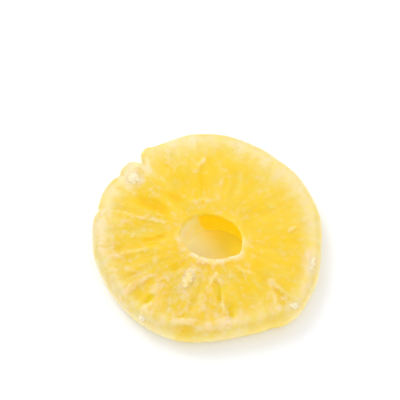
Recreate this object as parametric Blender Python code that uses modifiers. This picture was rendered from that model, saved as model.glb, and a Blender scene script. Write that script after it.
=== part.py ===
"""A ring of dried, sugared pineapple that lies flat on its underside.

The slice is turned from its cross-section with a Screw modifier. Its points are then moved by a few
functions: the uneven outline, the leaning oval hole, the fibres that run out from the core, and the
furrows and ridges that show most. Clumps of sugar are fused to the top and the rim at the end.

Lengths are in millimetres up to the last step, which scales the mesh to metres.
"""

import math

import bmesh
import bpy
from mathutils import Matrix, Vector, noise
from mathutils.bvhtree import BVHTree

MM = 0.001

# Driving dimensions of the slice
OUTER_RADIUS = 37.0
THICKNESS = 9.0
HOLE_RADIUS = 9.0
HOLE_CENTRE = Vector((0.9, -2.8))
HOLE_HALF_LENGTH = 10.0
HOLE_HALF_WIDTH = 7.7
HOLE_TURN = math.radians(-17)
HOLE_LEAN = Vector((2.4, -1.2))
HOLE_CORNER = math.radians(-38)
HOLE_CORNER_WIDTH = math.radians(15)
HOLE_CORNER_OUT = 0.9

# Rounding of the four edges
TOP_EDGE = 4.2
BOTTOM_EDGE = 3.0
HOLE_TOP_EDGE = 0.7
HOLE_BOTTOM_EDGE = 0.6

# The outline's slow waves: how many round the slice, their height, and where one peaks in degrees
OUTLINE_WAVES = (
    (2, 0.55, 140),
    (3, 0.35, 94),
    (4, 0.2, 54),
    (5, 0.35, 32),
    (6, 0.3, 17),
)

# Dents and bulges of the outline: place and half width in degrees, and how far the side moves
OUTLINE_NOTCHES = (
    (88, 22.0, 0.6),
    (123, 2.6, 0.7),
    (130.5, 2.6, -3.6),
    (144, 2.4, -1.0),
    (155, 9.0, 0.5),
    (167.5, 2.2, -0.7),
    (228, 15.0, 0.6),
    (302, 2.5, -0.4),
    (312, 11.0, 1.1),
)

# Furrows in the top: angle, distance from the middle, length, width, depth, turn from radial
FURROWS = (
    (96, 17.0, 11.0, 2.8, 0.35, 0),
    (152, 19.5, 12.0, 3.0, 0.35, 6),
    (135, 15.5, 8.0, 2.4, 0.3, 13),
    (166, 27.0, 7.0, 2.2, 0.25, 4),
    (195, 19.0, 5.5, 2.4, 0.4, -18),
    (192, 15.2, 4.0, 1.8, 0.3, 0),
    (235, 16.0, 6.0, 2.6, 0.35, -12),
    (235, 30.5, 4.4, 2.0, 0.8, -10),
    (260, 26.0, 8.0, 2.0, 0.35, -8),
    (280, 23.0, 6.4, 1.7, 0.7, -10),
    (284, 30.2, 5.6, 1.8, 0.5, -14),
    (303, 22.0, 8.0, 2.6, 0.35, 24),
    (340, 20.0, 9.0, 2.4, 0.3, 4),
    (18, 18.0, 8.0, 2.4, 0.25, -6),
    (60, 17.0, 9.0, 2.6, 0.25, 4),
    (258, 35.6, 2.2, 6.0, 0.3, 8),
)

# Ridges of pulled fibre and crusted sugar, in the same terms with a height
RIDGES = (
    (274, 18.6, 6.4, 1.6, 0.45, -38),
    (281, 18.9, 5.2, 1.3, 0.4, 12),
    (280, 25.6, 11.5, 1.4, 0.5, -7),
    (222, 29.5, 12.0, 2.6, 0.45, -3),
    (236, 32.5, 9.5, 1.6, 0.45, 2),
    (232, 24.5, 9.0, 3.0, 0.3, 0),
    (251, 18.5, 9.0, 3.0, 0.45, -14),
    (96, 23.6, 6.0, 1.8, 0.45, -30),
    (339, 34.0, 7.0, 2.0, 0.6, -66),
    (310, 31.8, 12.5, 1.7, 0.45, -24),
    (316, 31.0, 9.0, 1.5, 0.45, 4),
    (101, 10.4, 1.6, 7.0, 0.3, -10),
    (264, 12.1, 1.7, 6.0, 0.45, 0),
    (286, 12.9, 1.5, 6.0, 0.4, 0),
    (257, 33.2, 2.2, 7.0, 0.4, 6),
    (279, 32.8, 2.6, 4.5, 0.3, 10),
    (309, 20.2, 6.0, 1.5, 0.35, 30),
    (170, 21.5, 14.0, 1.6, 0.25, -3),
    (200, 26.0, 14.0, 1.8, 0.3, -8),
    (359, 26.8, 3.4, 1.2, 0.3, 37),
)

# A shallow facet between two ridges near the rim: angle, distance, length, width, depth, turn
FACET = (314.5, 34.0, 9.0, 8.0, 0.5, -5)

# The fibres: how many waves of noise go round, their length out from the core, and their height
FIBRES = (
    (30, 16.0, 0.32),
    (64, 9.0, 0.16),
)
CALM_WIDTH = 10.0
SWELL_SIZE = 17.0
SWELL_HEIGHT = 0.5
SIDE_SWELL_SIZE = 9.0
SIDE_SWELL_HEIGHT = 0.5

# Clumps of sugar that show one by one: angle, distance, then length, width and height
CLUMPS = (
    (142.6, 30.3, 4.4, 4.4, 1.7),
    (236.4, 36.6, 3.0, 2.3, 1.7),
    (314.7, 37.6, 2.1, 2.8, 1.4),
    (338.2, 35.0, 1.8, 5.6, 1.0),
    (251.0, 19.7, 6.0, 2.8, 0.7),
)
CLUMP_SUNK = 0.0
UPRIGHT = Vector((0, 0, 1))

# How finely the slice is turned, and how many triangles it keeps
TURN_STEPS = 288
TOP_POINTS = 30
EDGE_POINTS = 6
WALL_POINTS = 4
BASE_POINTS = 8
SLICE_TRIANGLES = 11000
MERGE_DISTANCE = 0.00005

SEED = 11


def clear_scene():
    """Removes what the file holds, so that the script can be run again."""
    for item in list(bpy.data.objects):
        bpy.data.objects.remove(item, do_unlink=True)


def make_collection(name):
    """Gives an empty collection of that name, linked to the scene."""
    old = bpy.data.collections.get(name)
    if old:
        bpy.data.collections.remove(old)
    collection = bpy.data.collections.new(name)
    bpy.context.scene.collection.children.link(collection)
    return collection


def smooth(value):
    """Goes from 0 to 1 with no corner at either end."""
    value = min(max(value, 0.0), 1.0)
    return value * value * (3 - 2 * value)


def turn_between(angle, place):
    """The turn from a place in degrees to an angle in radians, between half a turn each way."""
    return (angle - math.radians(place) + math.pi) % (2 * math.pi) - math.pi


def outline(angle):
    """The point of the slice's side in the direction of an angle."""
    radius = OUTER_RADIUS
    for count, height, peak in OUTLINE_WAVES:
        radius += height * math.cos(count * (angle - math.radians(peak)))
    for place, half_width, move in OUTLINE_NOTCHES:
        turn = turn_between(angle, place) / math.radians(half_width)
        radius += move * math.exp(-turn * turn)
    return Vector((math.cos(angle), math.sin(angle))) * radius


def hole_edge(angle, depth):
    """The point of the hole's oval in the direction of an angle, at a depth from 0 to 1."""
    along = HOLE_HALF_LENGTH * math.cos(angle - HOLE_TURN)
    across = HOLE_HALF_WIDTH * math.sin(angle - HOLE_TURN)
    oval = Matrix.Rotation(HOLE_TURN, 2) @ Vector((along, across))
    turn = (angle - HOLE_CORNER + math.pi) % (2 * math.pi) - math.pi
    corner = HOLE_CORNER_OUT * math.exp(-(turn / HOLE_CORNER_WIDTH) ** 2)
    return HOLE_CENTRE + HOLE_LEAN * depth + oval + oval.normalized() * corner


def streak(x, y, feature):
    """How much of a furrow or a ridge is felt at a point: 1 on its middle, fading to 0."""
    place, distance, length, width, height, turn = feature
    angle = math.radians(place)
    dx = x - distance * math.cos(angle)
    dy = y - distance * math.sin(angle)
    if abs(dx) + abs(dy) > length + width:
        return 0.0
    heading = angle + math.radians(turn)
    along = (dx * math.cos(heading) + dy * math.sin(heading)) / (length / 2)
    across = (dy * math.cos(heading) - dx * math.sin(heading)) / (width / 2)
    return height * math.exp(-along**4 - across * across)


def fibre_height(x, y):
    """The height of the fibres that run out from the core, where they are packed and the surface is calmer."""
    dx = x - HOLE_CENTRE.x
    dy = y - HOLE_CENTRE.y
    distance = math.hypot(dx, dy)
    total = 0.0
    for count, length, height in FIBRES:
        girth = count / (2 * math.pi)
        spot = Vector((girth * dx / distance, girth * dy / distance, distance / length))
        total += height * noise.noise(spot)
    return total * smooth((distance - HOLE_HALF_WIDTH) / CALM_WIDTH)


def top_relief(x, y):
    """How far the top stands above or below its flat height."""
    height = SWELL_HEIGHT * noise.noise(Vector((x, y, SEED)) / SWELL_SIZE)
    height += fibre_height(x, y)
    height += sum(streak(x, y, ridge) for ridge in RIDGES)
    height -= sum(streak(x, y, furrow) for furrow in FURROWS)
    height -= streak(x, y, FACET)
    return height


def arc(centre, radius, start, end, count):
    """Points on an arc in the cross-section, with angles in degrees."""
    points = []
    for step in range(count):
        angle = math.radians(start + (end - start) * step / (count - 1))
        points.append((centre[0] + radius * math.cos(angle), centre[1] + radius * math.sin(angle)))
    return points


def line(start, end, count):
    """Points between two points of the cross-section, with neither end."""
    points = []
    for step in range(1, count + 1):
        part = step / (count + 1)
        points.append((start[0] + (end[0] - start[0]) * part, start[1] + (end[1] - start[1]) * part))
    return points


def cross_section():
    """The closed outline of the cut slice: over the top, down the side, and back underneath."""
    inner_top = arc((HOLE_RADIUS + HOLE_TOP_EDGE, THICKNESS - HOLE_TOP_EDGE), HOLE_TOP_EDGE, 180, 90, EDGE_POINTS)
    outer_top = arc((OUTER_RADIUS - TOP_EDGE, THICKNESS - TOP_EDGE), TOP_EDGE, 90, 0, EDGE_POINTS)
    outer_base = arc((OUTER_RADIUS - BOTTOM_EDGE, BOTTOM_EDGE), BOTTOM_EDGE, 0, -90, EDGE_POINTS)
    inner_base = arc((HOLE_RADIUS + HOLE_BOTTOM_EDGE, HOLE_BOTTOM_EDGE), HOLE_BOTTOM_EDGE, 270, 180, EDGE_POINTS)
    points = inner_top
    points += line(inner_top[-1], outer_top[0], TOP_POINTS)
    points += outer_top
    points += line(outer_top[-1], outer_base[0], WALL_POINTS)
    points += outer_base
    points += line(outer_base[-1], inner_base[0], BASE_POINTS)
    points += inner_base
    points += line(inner_base[-1], inner_top[0], WALL_POINTS)
    return points


def turned_slice(collection):
    """A round slice: its cross-section, turned once round the Z axis."""
    points = cross_section()
    mesh = bpy.data.meshes.new("pineapple_ring")
    edges = [(step, (step + 1) % len(points)) for step in range(len(points))]
    mesh.from_pydata([(x, 0, z) for x, z in points], edges, [])
    ring = bpy.data.objects.new("pineapple_ring", mesh)
    collection.objects.link(ring)
    screw = ring.modifiers.new("turn", "SCREW")
    screw.steps = TURN_STEPS
    screw.render_steps = TURN_STEPS
    screw.use_merge_vertices = True
    screw.merge_threshold = MERGE_DISTANCE
    apply_modifiers(ring)
    return ring


def apply_modifiers(item):
    """Keeps the shape that an object's modifiers give, and removes them."""
    graph = bpy.context.evaluated_depsgraph_get()
    mesh = bpy.data.meshes.new_from_object(item.evaluated_get(graph))
    old = item.data
    item.modifiers.clear()
    item.data = mesh
    bpy.data.meshes.remove(old)
    mesh.name = item.name


def shape_slice(ring):
    """Moves the round slice's points to the uneven slice, and gives the middle of its box."""
    for vertex in ring.data.vertices:
        round_x, round_y, z = vertex.co
        angle = math.atan2(round_y, round_x)
        part = (math.hypot(round_x, round_y) - HOLE_RADIUS) / (OUTER_RADIUS - HOLE_RADIUS)
        depth = 1 - z / THICKNESS
        side = outline(angle)
        swell = noise.noise(Vector((side.x, side.y, z + SEED)) / SIDE_SWELL_SIZE)
        side += side.normalized() * swell * SIDE_SWELL_HEIGHT * smooth(z / BOTTOM_EDGE)
        place = hole_edge(angle, depth).lerp(side, part)
        top_share = smooth((z / THICKNESS - 0.4) / 0.6)
        lift = top_relief(place.x, place.y) * top_share if top_share > 0 else 0.0
        vertex.co = (place.x, place.y, z + lift)
    across = [vertex.co.x for vertex in ring.data.vertices]
    along = [vertex.co.y for vertex in ring.data.vertices]
    return Vector((min(across) + max(across), min(along) + max(along), 0)) / 2


def thin_out(ring):
    """Takes out triangles where the surface is plain, and keeps them where it is rough."""
    ring.data.update()
    modifier = ring.modifiers.new("thin out", "DECIMATE")
    ring.data.calc_loop_triangles()
    modifier.ratio = SLICE_TRIANGLES / len(ring.data.loop_triangles)
    modifier.use_collapse_triangulate = True
    apply_modifiers(ring)


def add_clump(collection, spot, normal, size, turn):
    """Lays one lump of sugar on the surface, partly sunk in it."""
    mesh = bpy.data.meshes.new("clump")
    shape = bmesh.new()
    bmesh.ops.create_icosphere(shape, subdivisions=1, radius=0.5)
    for vertex in shape.verts:
        vertex.co *= 1 + 0.25 * noise.noise(vertex.co * 3 + spot)
    place = Matrix.Translation(spot + normal * size.z * CLUMP_SUNK)
    tilt = UPRIGHT.rotation_difference(normal).to_matrix().to_4x4()
    place = place @ tilt @ Matrix.Rotation(turn, 4, "Z") @ Matrix.Diagonal(size).to_4x4()
    bmesh.ops.transform(shape, matrix=place, verts=shape.verts)
    shape.to_mesh(mesh)
    shape.free()
    clump = bpy.data.objects.new("clump", mesh)
    clump.hide_render = True
    clump.display_type = "WIRE"
    collection.objects.link(clump)


def drop(surface, x, y):
    """Where a thing dropped at a point lands, and the way up from there, leaned towards upright."""
    spot, normal, _, _ = surface.ray_cast(Vector((x, y, 2 * THICKNESS)), -UPRIGHT)
    return spot, (normal + UPRIGHT).normalized()


def lay_sugar(ring, collection):
    """Lays the clumps where they fall on the slice."""
    shape = bmesh.new()
    shape.from_mesh(ring.data)
    surface = BVHTree.FromBMesh(shape)
    shape.free()
    for place, distance, length, width, height in CLUMPS:
        angle = math.radians(place)
        spot, normal = drop(surface, distance * math.cos(angle), distance * math.sin(angle))
        add_clump(collection, spot, normal, Vector((length, width, height)), angle)


def fuse(ring, collection):
    """Joins the sugar to the slice as one closed solid, and removes the loose lumps."""
    union = ring.modifiers.new("fuse sugar", "BOOLEAN")
    union.operation = "UNION"
    union.operand_type = "COLLECTION"
    union.collection = collection
    union.solver = "EXACT"
    apply_modifiers(ring)
    for clump in list(collection.objects):
        bpy.data.objects.remove(clump, do_unlink=True)
    bpy.data.collections.remove(collection)


def to_metres(ring, middle):
    """Centres the finished mesh and scales it to metres, with every face a triangle."""
    shape = bmesh.new()
    shape.from_mesh(ring.data)
    bmesh.ops.triangulate(shape, faces=shape.faces)
    bmesh.ops.translate(shape, vec=-middle, verts=shape.verts)
    bmesh.ops.scale(shape, vec=(MM, MM, MM), verts=shape.verts)
    shape.to_mesh(ring.data)
    shape.free()


def fruit_material():
    """Moist candied fruit: warm yellow and a little glossy."""
    material = bpy.data.materials.new("candied_pineapple")
    material.use_nodes = True
    surface = material.node_tree.nodes["Principled BSDF"]
    surface.inputs["Base Color"].default_value = (0.95, 0.66, 0.13, 1)
    surface.inputs["Roughness"].default_value = 0.45
    surface.inputs["Metallic"].default_value = 0.0
    return material


def main():
    clear_scene()
    parts = make_collection("dried_pineapple_ring")
    sugar = make_collection("loose_sugar")
    ring = turned_slice(parts)
    middle = shape_slice(ring)
    thin_out(ring)
    lay_sugar(ring, sugar)
    fuse(ring, sugar)
    to_metres(ring, middle)
    ring.data.materials.clear()
    ring.data.materials.append(fruit_material())
    ring.data.shade_smooth()


main()
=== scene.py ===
# %% [markdown]
# # A ring of dried, sugared pineapple
# The real thing is a slice of pineapple, cored, simmered in syrup and dried, then dusted with sugar. What
# the eye reads is a soft yellow glow, pale fibres that run out from the core, and a crust of sugar on their
# ridges. The frame gives the solid slice. Here a much finer slice takes its place, because a surface like
# this one lives on relief of a tenth of a millimetre. Lengths are in millimetres until a mesh is finished,
# and metres after.

# %% Load the frame and keep the size of the solid model
import math
import random

import bmesh
import bpy
import numpy as np
from mathutils import Matrix, Vector, noise
from mathutils.bvhtree import BVHTree


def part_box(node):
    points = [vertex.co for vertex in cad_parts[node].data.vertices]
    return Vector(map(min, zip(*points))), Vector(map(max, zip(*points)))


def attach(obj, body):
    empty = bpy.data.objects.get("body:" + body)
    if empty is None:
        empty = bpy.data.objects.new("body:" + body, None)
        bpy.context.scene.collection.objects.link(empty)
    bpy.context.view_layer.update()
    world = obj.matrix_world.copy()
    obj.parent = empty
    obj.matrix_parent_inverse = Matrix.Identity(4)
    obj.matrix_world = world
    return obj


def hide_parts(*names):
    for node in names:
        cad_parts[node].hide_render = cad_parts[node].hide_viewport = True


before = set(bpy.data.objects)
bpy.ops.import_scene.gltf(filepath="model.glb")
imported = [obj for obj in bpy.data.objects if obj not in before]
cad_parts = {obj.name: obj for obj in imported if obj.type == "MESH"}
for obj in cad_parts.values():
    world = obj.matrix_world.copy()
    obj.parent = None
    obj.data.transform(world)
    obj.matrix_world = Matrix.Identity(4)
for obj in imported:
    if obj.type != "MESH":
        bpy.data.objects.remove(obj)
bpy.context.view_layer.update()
MM = 0.001
NODE = "pineapple_ring"
solid_low, solid_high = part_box(NODE)
solid_middle = (solid_low + solid_high) / 2
print("solid slice in mm:", [round(side / MM, 1) for side in solid_high - solid_low])

# %% [markdown]
# ## The camera
# The slice is seen from above at a steep slant, as on a table in front of us. A longer lens from further
# away would flatten it, a short one would swell its near edge. 100 mm from a little over a third of a metre
# gives the gentle perspective of product photography. The target lies behind the slice's middle and a
# little to its left, so that the slice sits low in the picture and just right of the centre.

# %% Camera
CAMERA_ELEVATION = math.radians(60)
CAMERA_LENS = 100
CAMERA_DISTANCE = 364 * MM
CAMERA_TARGET = Vector((-2.33, 11.85, 5.0)) * MM


def make_camera():
    """The camera, on its slant and turned to its target."""
    data = bpy.data.cameras.new("camera")
    data.lens = CAMERA_LENS
    camera = bpy.data.objects.new("camera", data)
    bpy.context.scene.collection.objects.link(camera)
    back = Vector((0, -math.cos(CAMERA_ELEVATION), math.sin(CAMERA_ELEVATION)))
    camera.location = CAMERA_TARGET + back * CAMERA_DISTANCE
    camera.rotation_euler = (-back).to_track_quat("-Z", "Y").to_euler()
    bpy.context.scene.camera = camera
    return camera


camera = make_camera()
print("camera at", [round(value, 3) for value in camera.location])

# %% [markdown]
# ## Light and floor
# The light is as soft as a light tent's: a white surround does most of the work, and one large lamp behind
# and to the left lifts the far rim and lays a faint shadow to the lower right. The colours are meant to
# leave the render as they are set, so the plain Standard view is used in place of a filmic one, which would
# grey the yellow. Candied fruit passes light on: the floor that shows through the hole glows yellow. A tint
# under the slice, which fades before it reaches the outside, stands for that. It is paler at the left and
# deeper at the right, and a little light of its own makes up for what the hole's walls keep from the floor.

# %% Light
SURROUND_STRENGTH = 0.96
LAMP_POWER = 3.2
LAMP_SIZE = 0.5
LAMP_PLACE = Vector((-0.45, 0.55, 0.75))


def aim_at_slice(item):
    """Turns a lamp to the middle of the slice."""
    item.rotation_euler = (solid_middle - item.location).to_track_quat("-Z", "Y").to_euler()


def make_light():
    """The white surround, the large lamp and the plain view of colours."""
    world = bpy.data.worlds.new("light tent")
    world.use_nodes = True
    surround = world.node_tree.nodes["Background"]
    surround.inputs["Color"].default_value = (1, 1, 1, 1)
    surround.inputs["Strength"].default_value = SURROUND_STRENGTH
    bpy.context.scene.world = world
    data = bpy.data.lights.new("large lamp", "AREA")
    data.size = LAMP_SIZE
    data.energy = LAMP_POWER
    lamp = bpy.data.objects.new("large lamp", data)
    bpy.context.scene.collection.objects.link(lamp)
    lamp.location = LAMP_PLACE
    aim_at_slice(lamp)
    bpy.context.scene.view_settings.view_transform = "Standard"


make_light()
print("surround", SURROUND_STRENGTH, "and a lamp of", LAMP_POWER, "W")

# %% Floor
FLOOR_SIZE = 6.0
FLOOR_WHITE = (0.955, 0.965, 1.0, 1)
NO_LIGHT = (0.0, 0.0, 0.0, 1)
# The tint at the left and at the right of the hole, and where it ends under the slice
GLOW_LEFT = (0.80, 0.65, 0.34, 1)
GLOW_RIGHT = (0.80, 0.60, 0.06, 1)
GLOW_INNER = 14 * MM
GLOW_OUTER = 26 * MM
# Light that the flesh throws on the floor: at the left, at the right, and along the wall at the far right
LEFT_LIGHT = (0.20, 0.23, 0.11, 1)
RIGHT_LIGHT = (0.20, 0.12, 0.0, 1)
EDGE_LIGHT = (0.14, 0.14, 0.0, 1)
# Ways over the floor, each with the places between which the tint or the light changes
GLOW_WAY = (0.85, 0.5, 0.0)
GLOW_TURNS = (-7 * MM, 5 * MM)
BACK_WAY = (-0.45, 1.0, 0.0)
BACK_TURNS = (-6.7 * MM, 2.4 * MM)
EDGE_WAY = (0.9, 0.45, 0.0)
EDGE_TURNS = (3 * MM, 9 * MM)


def node(tree, kind, **settings):
    """Adds a shader node and sets its plain properties."""
    made = tree.nodes.new("ShaderNode" + kind)
    for name, value in settings.items():
        setattr(made, name, value)
    return made


def colour_mix(tree, factor, first, second):
    """Mixes two colours, each a fixed one or another node's socket."""
    mix = node(tree, "Mix", data_type="RGBA")
    tree.links.new(factor, mix.inputs["Factor"])
    for socket, colour in zip((mix.inputs["A"], mix.inputs["B"]), (first, second)):
        if isinstance(colour, tuple):
            socket.default_value = colour
        else:
            tree.links.new(colour, socket)
    return mix.outputs["Result"]


def between(tree, value, low, high, start=0.0, end=1.0):
    """Maps a range smoothly to another one."""
    made = node(tree, "MapRange", interpolation_type="SMOOTHSTEP")
    made.inputs["From Min"].default_value = low
    made.inputs["From Max"].default_value = high
    made.inputs["To Min"].default_value = start
    made.inputs["To Max"].default_value = end
    tree.links.new(value, made.inputs["Value"])
    return made.outputs["Result"]


def over_floor(tree, place, way, turns):
    """Goes from 0 to 1 along a direction over the floor."""
    made = node(tree, "VectorMath", operation="DOT_PRODUCT")
    made.inputs[1].default_value = way
    tree.links.new(place, made.inputs[0])
    return between(tree, made.outputs["Value"], *turns)


def floor_material():
    """White, with the yellow light of the flesh under the slice."""
    material = bpy.data.materials.new("white table")
    material.use_nodes = True
    tree = material.node_tree
    surface = tree.nodes["Principled BSDF"]
    surface.inputs["Roughness"].default_value = 0.9
    surface.inputs["Specular IOR Level"].default_value = 0.0
    surface.inputs["Emission Strength"].default_value = 1.0
    place = node(tree, "TexCoord").outputs["Object"]
    length = node(tree, "VectorMath", operation="LENGTH")
    tree.links.new(place, length.inputs[0])
    outside = between(tree, length.outputs["Value"], GLOW_INNER, GLOW_OUTER)
    rightness = over_floor(tree, place, GLOW_WAY, GLOW_TURNS)
    glow = colour_mix(tree, rightness, GLOW_LEFT, GLOW_RIGHT)
    tree.links.new(colour_mix(tree, outside, glow, FLOOR_WHITE), surface.inputs["Base Color"])
    shine = colour_mix(tree, rightness, LEFT_LIGHT, RIGHT_LIGHT)
    shine = colour_mix(tree, over_floor(tree, place, BACK_WAY, BACK_TURNS), NO_LIGHT, shine)
    shine = colour_mix(tree, over_floor(tree, place, EDGE_WAY, EDGE_TURNS), shine, EDGE_LIGHT)
    tree.links.new(colour_mix(tree, outside, shine, NO_LIGHT), surface.inputs["Emission Color"])
    return material


def make_floor():
    """One wide flat face at the height of the slice's underside."""
    mesh = bpy.data.meshes.new("floor")
    shape = bmesh.new()
    bmesh.ops.create_grid(shape, x_segments=1, y_segments=1, size=FLOOR_SIZE / 2)
    shape.to_mesh(mesh)
    shape.free()
    mesh.materials.append(floor_material())
    floor = bpy.data.objects.new("floor", mesh)
    bpy.context.scene.collection.objects.link(floor)
    floor.location.z = solid_low.z


make_floor()

# %% [markdown]
# ## The slice's outline and its hole
# No fruit is round. The side is a circle with a few slow waves and some narrow dents, where leaf-like folds
# of the flesh have dried apart. The hole is an oval, as the corer went in at a slant, so its far wall shows
# more on the right. Both are functions of the angle, and everything between them is a blend of the two.

# %% Sizes that the solid slice has too
OUTER_RADIUS = 37.0
THICKNESS = 9.0
HOLE_RADIUS = 9.0
HOLE_CENTRE = Vector((0.9, -2.8))
HOLE_HALF_LENGTH = 10.0
HOLE_HALF_WIDTH = 7.7
HOLE_TURN = math.radians(-17)
HOLE_LEAN = Vector((2.4, -1.2))
HOLE_CORNER = math.radians(-38)
HOLE_CORNER_WIDTH = math.radians(15)
HOLE_CORNER_OUT = 0.9
TOP_EDGE = 4.2
BOTTOM_EDGE = 3.0
HOLE_TOP_EDGE = 0.7
HOLE_BOTTOM_EDGE = 0.6
SEED = 11

# How many waves go round, their height, and where one peaks in degrees
OUTLINE_WAVES = (
    (2, 0.55, 140),
    (3, 0.35, 94),
    (4, 0.2, 54),
    (5, 0.35, 32),
    (6, 0.3, 17),
)

# Place and half width in degrees, and how far the side moves
OUTLINE_NOTCHES = (
    (88, 22.0, 0.6),
    (123, 2.6, 0.7),
    (130.5, 2.6, -3.6),
    (144, 2.4, -1.0),
    (155, 9.0, 0.5),
    (167.5, 2.2, -0.7),
    (228, 15.0, 0.6),
    (302, 2.5, -0.4),
    (312, 11.0, 1.1),
)

# %% Outline and hole
def smooth(value):
    """Goes from 0 to 1 with no corner at either end."""
    value = min(max(value, 0.0), 1.0)
    return value * value * (3 - 2 * value)


def turn_between(angle, place):
    """The turn from a place to an angle, between half a turn each way."""
    return (angle - place + math.pi) % (2 * math.pi) - math.pi


def outline(angle):
    """The point of the slice's side in the direction of an angle."""
    radius = OUTER_RADIUS
    for count, height, peak in OUTLINE_WAVES:
        radius += height * math.cos(count * (angle - math.radians(peak)))
    for place, half_width, move in OUTLINE_NOTCHES:
        turn = turn_between(angle, math.radians(place)) / math.radians(half_width)
        radius += move * math.exp(-turn * turn)
    return Vector((math.cos(angle), math.sin(angle))) * radius


def hole_edge(angle, depth):
    """The point of the hole's oval in the direction of an angle, at a depth from 0 to 1."""
    along = HOLE_HALF_LENGTH * math.cos(angle - HOLE_TURN)
    across = HOLE_HALF_WIDTH * math.sin(angle - HOLE_TURN)
    oval = Matrix.Rotation(HOLE_TURN, 2) @ Vector((along, across))
    corner = HOLE_CORNER_OUT * math.exp(-(turn_between(angle, HOLE_CORNER) / HOLE_CORNER_WIDTH) ** 2)
    return HOLE_CENTRE + HOLE_LEAN * depth + oval + oval.normalized() * corner


print("side at the front:", round(outline(math.radians(270)).length, 1), "mm from the middle")

# %% [markdown]
# ## Furrows, ridges and fibres
# Between the bundles of fibre the flesh has shrunk into furrows, and the bundles stand up as ridges, which
# catch the sugar. The ones that a viewer would point at are listed, each with a place and a size. Noise
# stretched along the fibres makes the rest: it is read on a cylinder round the core, so that it has no
# seam, and it changes fast across the fibres but slowly along them.

# %% The furrows and ridges that show most
# Angle, distance from the middle, length, width, depth or height, and the turn from radial in degrees
FURROWS = (
    (96, 17.0, 11.0, 2.8, 0.35, 0),
    (152, 19.5, 12.0, 3.0, 0.35, 6),
    (135, 15.5, 8.0, 2.4, 0.3, 13),
    (166, 27.0, 7.0, 2.2, 0.25, 4),
    (195, 19.0, 5.5, 2.4, 0.4, -18),
    (192, 15.2, 4.0, 1.8, 0.3, 0),
    (235, 16.0, 6.0, 2.6, 0.35, -12),
    (235, 30.5, 4.4, 2.0, 0.8, -10),
    (260, 26.0, 8.0, 2.0, 0.35, -8),
    (280, 23.0, 6.4, 1.7, 0.7, -10),
    (284, 30.2, 5.6, 1.8, 0.5, -14),
    (303, 22.0, 8.0, 2.6, 0.35, 24),
    (340, 20.0, 9.0, 2.4, 0.3, 4),
    (18, 18.0, 8.0, 2.4, 0.25, -6),
    (60, 17.0, 9.0, 2.6, 0.25, 4),
    (258, 35.6, 2.2, 6.0, 0.3, 8),
)
RIDGES = (
    (274, 18.6, 6.4, 1.6, 0.45, -38),
    (281, 18.9, 5.2, 1.3, 0.4, 12),
    (280, 25.6, 11.5, 1.4, 0.5, -7),
    (222, 29.5, 12.0, 2.6, 0.45, -3),
    (236, 32.5, 9.5, 1.6, 0.45, 2),
    (232, 24.5, 9.0, 3.0, 0.3, 0),
    (251, 18.5, 9.0, 3.0, 0.45, -14),
    (96, 23.6, 6.0, 1.8, 0.45, -30),
    (339, 34.0, 7.0, 2.0, 0.6, -66),
    (310, 31.8, 12.5, 1.7, 0.45, -24),
    (316, 31.0, 9.0, 1.5, 0.45, 4),
    (101, 10.4, 1.6, 7.0, 0.3, -10),
    (264, 12.1, 1.7, 6.0, 0.45, 0),
    (286, 12.9, 1.5, 6.0, 0.4, 0),
    (257, 33.2, 2.2, 7.0, 0.4, 6),
    (279, 32.8, 2.6, 4.5, 0.3, 10),
    (309, 20.2, 6.0, 1.5, 0.35, 30),
    (170, 21.5, 14.0, 1.6, 0.25, -3),
    (200, 26.0, 14.0, 1.8, 0.3, -8),
    (359, 26.8, 3.4, 1.2, 0.3, 37),
)
FACET = (314.5, 34.0, 9.0, 8.0, 0.5, -5)

# %% Relief
# How many waves of noise go round, their length out from the core, and their height
FIBRES = (
    (30, 16.0, 0.32),
    (64, 9.0, 0.16),
)
# Over what way out from the hole they grow to that, and the slow swells of the top and the side
CALM_WIDTH = 10.0
SWELL_SIZE = 17.0
SWELL_HEIGHT = 0.5
SIDE_SWELL_SIZE = 9.0
SIDE_SWELL_HEIGHT = 0.5


def streak(x, y, feature):
    """How much of a furrow or a ridge is felt at a point: 1 on its middle, fading to 0."""
    place, distance, length, width, height, turn = feature
    angle = math.radians(place)
    dx = x - distance * math.cos(angle)
    dy = y - distance * math.sin(angle)
    if abs(dx) + abs(dy) > length + width:
        return 0.0
    heading = angle + math.radians(turn)
    along = (dx * math.cos(heading) + dy * math.sin(heading)) / (length / 2)
    across = (dy * math.cos(heading) - dx * math.sin(heading)) / (width / 2)
    return height * math.exp(-along**4 - across * across)


def felt(features, x, y):
    """How much of a whole list of features is felt at a point."""
    return sum(streak(x, y, feature) for feature in features)


def fibre_height(x, y, fibres):
    """The height of the fibres that run out from the core."""
    dx = x - HOLE_CENTRE.x
    dy = y - HOLE_CENTRE.y
    distance = math.hypot(dx, dy)
    total = 0.0
    for count, length, height in fibres:
        girth = count / (2 * math.pi)
        spot = Vector((girth * dx / distance, girth * dy / distance, distance / length))
        total += height * noise.noise(spot)
    return total * looseness(distance)


def looseness(distance):
    """How far apart the fibres stand: at the core they are packed, and the surface is calmer."""
    return smooth((distance - HOLE_HALF_WIDTH) / CALM_WIDTH)


print(len(FURROWS), "furrows and", len(RIDGES), "ridges are placed by hand")

# %% [markdown]
# ## Turning the slice
# A ring can be lofted, cut from a cylinder, or turned. Turning is the plainest: the cross-section is drawn
# once, with its four rounded edges, and spun round the axis. The spin merges its last step with its first,
# so the skin is closed. The section has many points along the top, where the relief will be, and few
# underneath.

# %% Cross-section
TURN_STEPS = 660
TOP_POINTS = 84
EDGE_POINTS = 9
WALL_POINTS = 8
BASE_POINTS = 6


def arc(centre, radius, start, end, count):
    """Points on an arc in the cross-section, with angles in degrees."""
    points = []
    for step in range(count):
        angle = math.radians(start + (end - start) * step / (count - 1))
        points.append((centre[0] + radius * math.cos(angle), centre[1] + radius * math.sin(angle)))
    return points


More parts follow.
